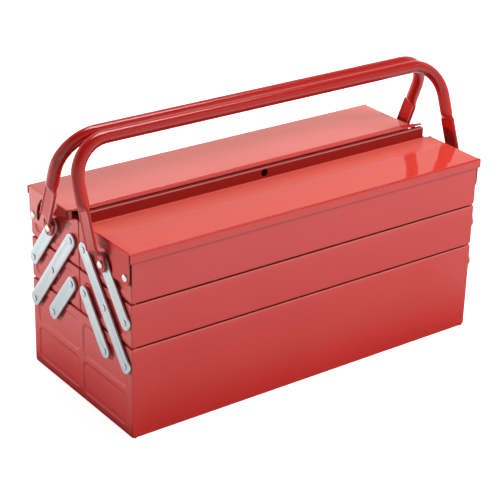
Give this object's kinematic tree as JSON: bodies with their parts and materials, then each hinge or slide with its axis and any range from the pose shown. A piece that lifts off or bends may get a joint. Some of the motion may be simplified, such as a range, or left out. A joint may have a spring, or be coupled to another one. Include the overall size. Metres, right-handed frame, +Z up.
{
  "type": "cantilever tool box",
  "caption": "Sheet-steel cantilever tool box whose lidded trays part to front and rear on flat links when its tube handles open.",
  "frame": {"origin": "on the ground under the middle of the closed box", "axes": "+X along the box to the end seen on the right from the front, +Y to the rear, +Z up"},
  "size_m": [0.499, 0.2048, 0.304],
  "materials": {
    "red_enamel": "glossy red enamel",
    "zinc_plate": "bright zinc plating with a faint blue cast",
    "bright_rivet": "bright plated steel"
  },
  "bodies": {
    "base": {"base_shell": "red_enamel", "base_end_left": "red_enamel", "base_end_right": "red_enamel", "base_rivets": "bright_rivet", "base_washers": "zinc_plate"},
    "long_link_front_left": {"long_link_front_left": "zinc_plate"},
    "long_link_front_right": {"long_link_front_right": "zinc_plate"},
    "lower_link_front_left": {"lower_link_front_left": "zinc_plate"},
    "lower_link_front_right": {"lower_link_front_right": "zinc_plate"},
    "mid_tray_front": {"mid_tray_front_shell": "red_enamel", "mid_tray_front_end_left": "red_enamel", "mid_tray_front_end_right": "red_enamel", "mid_tray_front_rivets": "bright_rivet", "mid_tray_front_washers": "zinc_plate"},
    "top_tray_front": {"top_tray_front_shell": "red_enamel", "top_tray_front_end_left": "red_enamel", "top_tray_front_end_right": "red_enamel", "top_tray_front_rivets": "bright_rivet", "top_tray_front_washers": "zinc_plate", "lid_rivets_front": "bright_rivet", "handle_rivets_front": "bright_rivet"},
    "handle_front": {"handle_front": "red_enamel", "upper_link_front_left": "zinc_plate", "upper_link_front_right": "zinc_plate"},
    "lid_front": {"lid_front": "red_enamel"},
    "long_link_rear_left": {"long_link_rear_left": "zinc_plate"},
    "long_link_rear_right": {"long_link_rear_right": "zinc_plate"},
    "lower_link_rear_left": {"lower_link_rear_left": "zinc_plate"},
    "lower_link_rear_right": {"lower_link_rear_right": "zinc_plate"},
    "mid_tray_rear": {"mid_tray_rear_shell": "red_enamel", "mid_tray_rear_end_left": "red_enamel", "mid_tray_rear_end_right": "red_enamel", "mid_tray_rear_rivets": "bright_rivet", "mid_tray_rear_washers": "zinc_plate"},
    "top_tray_rear": {"top_tray_rear_shell": "red_enamel", "top_tray_rear_end_left": "red_enamel", "top_tray_rear_end_right": "red_enamel", "top_tray_rear_rivets": "bright_rivet", "top_tray_rear_washers": "zinc_plate", "lid_rivets_rear": "bright_rivet", "handle_rivets_rear": "bright_rivet"},
    "handle_rear": {"handle_rear": "red_enamel", "upper_link_rear_left": "zinc_plate", "upper_link_rear_right": "zinc_plate"},
    "lid_rear": {"lid_rear": "red_enamel"}
  },
  "joints": [
    {"name": "front_fold", "type": "hinge", "parent": "base", "child": "long_link_front_left", "pos_m": [-0.2322, -0.0913, 0.0825], "axis": [1, 0, 0], "range_deg": [0, 76.6]},
    {"name": "front_long_link_right_pivot", "type": "hinge", "parent": "base", "child": "long_link_front_right", "pos_m": [0.2322, -0.0913, 0.0825], "axis": [1, 0, 0], "range_deg": [0, 76.6]},
    {"name": "front_lower_link_left_pivot", "type": "hinge", "parent": "base", "child": "lower_link_front_left", "pos_m": [-0.2322, -0.0521, 0.0825], "axis": [1, 0, 0], "range_deg": [0, 76.6]},
    {"name": "front_lower_link_right_pivot", "type": "hinge", "parent": "base", "child": "lower_link_front_right", "pos_m": [0.2322, -0.0521, 0.0825], "axis": [1, 0, 0], "range_deg": [0, 76.6]},
    {"name": "front_mid_tray_pivot", "type": "hinge", "parent": "long_link_front_left", "child": "mid_tray_front", "pos_m": [-0.2322, -0.0521, 0.132], "axis": [1, 0, 0], "range_deg": [-76.6, 0]},
    {"name": "front_top_tray_pivot", "type": "hinge", "parent": "long_link_front_left", "child": "top_tray_front", "pos_m": [-0.2322, -0.0129, 0.1815], "axis": [1, 0, 0], "range_deg": [-76.6, 0]},
    {"name": "front_handle_pivot", "type": "hinge", "parent": "top_tray_front", "child": "handle_front", "pos_m": [0, -0.0521, 0.1815], "axis": [1, 0, 0], "range_deg": [0, 76.6]},
    {"name": "front_lid_hinge", "type": "hinge", "parent": "top_tray_front", "child": "lid_front", "pos_m": [0, -0.0913, 0.1815], "axis": [1, 0, 0], "range_deg": [0, 95]},
    {"name": "rear_fold", "type": "hinge", "parent": "base", "child": "long_link_rear_left", "pos_m": [-0.2322, 0.0913, 0.0825], "axis": [-1, 0, 0], "range_deg": [0, 76.6]},
    {"name": "rear_long_link_right_pivot", "type": "hinge", "parent": "base", "child": "long_link_rear_right", "pos_m": [0.2322, 0.0913, 0.0825], "axis": [-1, 0, 0], "range_deg": [0, 76.6]},
    {"name": "rear_lower_link_left_pivot", "type": "hinge", "parent": "base", "child": "lower_link_rear_left", "pos_m": [-0.2322, 0.0521, 0.0825], "axis": [-1, 0, 0], "range_deg": [0, 76.6]},
    {"name": "rear_lower_link_right_pivot", "type": "hinge", "parent": "base", "child": "lower_link_rear_right", "pos_m": [0.2322, 0.0521, 0.0825], "axis": [-1, 0, 0], "range_deg": [0, 76.6]},
    {"name": "rear_mid_tray_pivot", "type": "hinge", "parent": "long_link_rear_left", "child": "mid_tray_rear", "pos_m": [-0.2322, 0.0521, 0.132], "axis": [-1, 0, 0], "range_deg": [-76.6, 0]},
    {"name": "rear_top_tray_pivot", "type": "hinge", "parent": "long_link_rear_left", "child": "top_tray_rear", "pos_m": [-0.2322, 0.0129, 0.1815], "axis": [-1, 0, 0], "range_deg": [-76.6, 0]},
    {"name": "rear_handle_pivot", "type": "hinge", "parent": "top_tray_rear", "child": "handle_rear", "pos_m": [0, 0.0521, 0.1815], "axis": [-1, 0, 0], "range_deg": [0, 76.6]},
    {"name": "rear_lid_hinge", "type": "hinge", "parent": "top_tray_rear", "child": "lid_rear", "pos_m": [0, 0.0913, 0.1815], "axis": [-1, 0, 0], "range_deg": [0, 95]}
  ],
  "couplings": [
    {"joint": "front_long_link_right_pivot", "follows": "front_fold", "ratio": 1},
    {"joint": "front_lower_link_left_pivot", "follows": "front_fold", "ratio": 1},
    {"joint": "front_lower_link_right_pivot", "follows": "front_fold", "ratio": 1},
    {"joint": "front_mid_tray_pivot", "follows": "front_fold", "ratio": -1},
    {"joint": "front_top_tray_pivot", "follows": "front_fold", "ratio": -1},
    {"joint": "front_handle_pivot", "follows": "front_fold", "ratio": 1},
    {"joint": "rear_long_link_right_pivot", "follows": "rear_fold", "ratio": 1},
    {"joint": "rear_lower_link_left_pivot", "follows": "rear_fold", "ratio": 1},
    {"joint": "rear_lower_link_right_pivot", "follows": "rear_fold", "ratio": 1},
    {"joint": "rear_mid_tray_pivot", "follows": "rear_fold", "ratio": -1},
    {"joint": "rear_top_tray_pivot", "follows": "rear_fold", "ratio": -1},
    {"joint": "rear_handle_pivot", "follows": "rear_fold", "ratio": 1}
  ]
}
